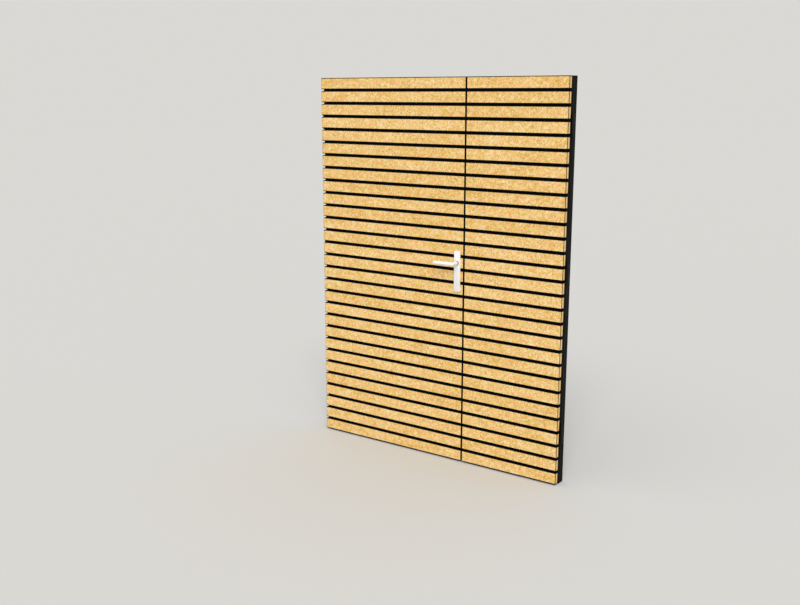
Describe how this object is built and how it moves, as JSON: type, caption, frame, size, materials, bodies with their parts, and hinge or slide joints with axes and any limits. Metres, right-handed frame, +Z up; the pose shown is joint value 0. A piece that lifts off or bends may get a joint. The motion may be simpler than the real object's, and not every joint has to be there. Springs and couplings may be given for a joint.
{
  "type": "shed double door",
  "caption": "Timber shed double door: a wide and a narrow outward-opening leaf with spaced horizontal slats over black panels, in a black frame, with a white lever handle.",
  "frame": {"origin": "middle of the sill's underside, at the middle of the frame timbers' depth", "axes": "+X to the right seen from outside, +Y into the shed, +Z up"},
  "size_m": [1.525, 0.205, 2.028],
  "materials": {
    "slat_wood": "clear satin",
    "black_timber": "black stain",
    "black_panel": "black stain",
    "seal_rubber": "matt",
    "black_steel": "black powder coat",
    "white_metal": "white powder coat",
    "lock_steel": "brushed"
  },
  "bodies": {
    "frame": {"frame_left_jamb": "black_timber", "frame_right_jamb": "black_timber", "frame_head": "black_timber", "frame_sill": "black_timber", "frame_seals": "seal_rubber", "left_hinge_frame_plates": "black_steel", "right_hinge_frame_plates": "black_steel"},
    "left_leaf": {"outside_handle_plate": "white_metal", "inside_handle_plate": "white_metal", "lock_forend": "lock_steel", "latch_bolt": "lock_steel", "left_slats": "slat_wood", "left_backing_panel": "black_panel", "left_hinge_stile": "black_timber", "left_meeting_stile": "black_timber", "left_top_rail": "black_timber", "left_lock_rail": "black_timber", "left_bottom_rail": "black_timber", "left_upper_brace": "black_timber", "left_lower_brace": "black_timber", "left_hinge_leaf_straps": "black_steel"},
    "right_leaf": {"strike_plate": "lock_steel", "top_bolt_case": "black_steel", "top_bolt_rod": "lock_steel", "bottom_bolt_case": "black_steel", "bottom_bolt_rod": "lock_steel", "right_slats": "slat_wood", "right_backing_panel": "black_panel", "right_hinge_stile": "black_timber", "right_meeting_stile": "black_timber", "right_top_rail": "black_timber", "right_lock_rail": "black_timber", "right_bottom_rail": "black_timber", "right_upper_brace": "black_timber", "right_lower_brace": "black_timber", "right_hinge_leaf_straps": "black_steel"},
    "lever": {"outside_lever": "white_metal", "inside_lever": "white_metal", "spindle": "lock_steel"}
  },
  "joints": [
    {"name": "left_leaf_swing", "type": "hinge", "parent": "frame", "child": "left_leaf", "pos_m": [-0.7555, -0.03, 1], "axis": [0, 0, -1], "range_deg": [0, 105]},
    {"name": "right_leaf_swing", "type": "hinge", "parent": "frame", "child": "right_leaf", "pos_m": [0.7555, -0.03, 1], "axis": [0, 0, 1], "range_deg": [0, 105]},
    {"name": "lever_turn", "type": "hinge", "parent": "left_leaf", "child": "lever", "pos_m": [0.15, 0, 1.088], "axis": [0, -1, 0], "range_deg": [0, 45], "stiffness_Nm_per_rad": 1.5, "springref_deg": -28.65}
  ]
}
